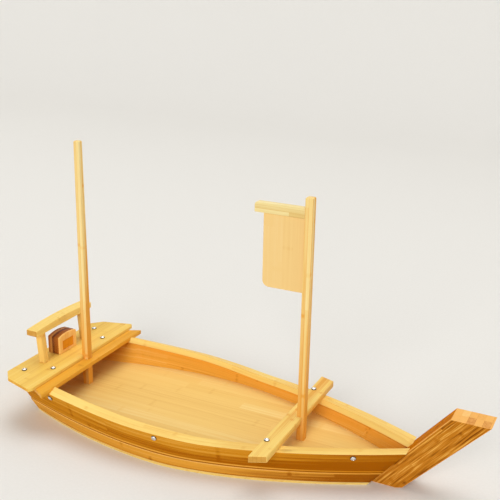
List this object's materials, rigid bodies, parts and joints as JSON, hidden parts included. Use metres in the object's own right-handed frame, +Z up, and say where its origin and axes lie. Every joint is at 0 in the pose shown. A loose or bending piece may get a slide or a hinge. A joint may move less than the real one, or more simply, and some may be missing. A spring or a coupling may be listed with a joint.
{
  "type": "sushi boat",
  "caption": "Flat-bottomed wooden serving boat with flared plank sides, a raked stem, lift-out flag mast and stern mast, a bow cross beam, and a stern platform with gate and box.",
  "frame": {"origin": "middle of the overall length and breadth, on the table under the bottom board", "axes": "+X to the bow, +Y to port, +Z up"},
  "size_m": [0.6679, 0.2602, 0.3983],
  "materials": {
    "pale_bamboo": "satin varnish",
    "cream_bamboo": "satin varnish",
    "gold_bamboo": "satin varnish",
    "brown_bamboo": "satin varnish",
    "screw_steel": "bright"
  },
  "bodies": {
    "hull": {"bottom_board": "pale_bamboo", "inwale_stbd": "pale_bamboo", "inwale_port": "pale_bamboo", "stern_beam": "pale_bamboo", "stern_platform": "pale_bamboo", "gate_post_stbd": "pale_bamboo", "gate_post_port": "pale_bamboo", "gate_lintel": "pale_bamboo", "stern_box_frame": "pale_bamboo", "floor_board": "cream_bamboo", "bow_beam": "cream_bamboo", "lower_strake_stbd": "gold_bamboo", "lower_strake_port": "gold_bamboo", "upper_strake_stbd": "gold_bamboo", "upper_strake_port": "gold_bamboo", "transom": "gold_bamboo", "stem": "gold_bamboo", "stern_box": "brown_bamboo", "beam_screw_stbd": "screw_steel", "beam_screw_port": "screw_steel", "platform_screw_aft_stbd": "screw_steel", "platform_screw_aft_port": "screw_steel", "platform_screw_fore_stbd": "screw_steel", "platform_screw_fore_port": "screw_steel", "side_screw_stern_stbd": "screw_steel", "side_screw_stern_port": "screw_steel", "side_screw_mid_stbd": "screw_steel", "side_screw_mid_port": "screw_steel", "side_screw_bow_stbd": "screw_steel", "side_screw_bow_port": "screw_steel"},
    "flag_mast": {"bow_mast": "cream_bamboo", "yard": "cream_bamboo", "flag_board": "cream_bamboo"},
    "stern_pole": {"stern_mast": "cream_bamboo"}
  },
  "joints": [
    {"name": "flag_mast_lift", "type": "slide", "parent": "hull", "child": "flag_mast", "axis": [0, 0, 1], "range_m": [0, 0.055]},
    {"name": "stern_mast_lift", "type": "slide", "parent": "hull", "child": "stern_pole", "axis": [0, 0, 1], "range_m": [0, 0.062]}
  ]
}
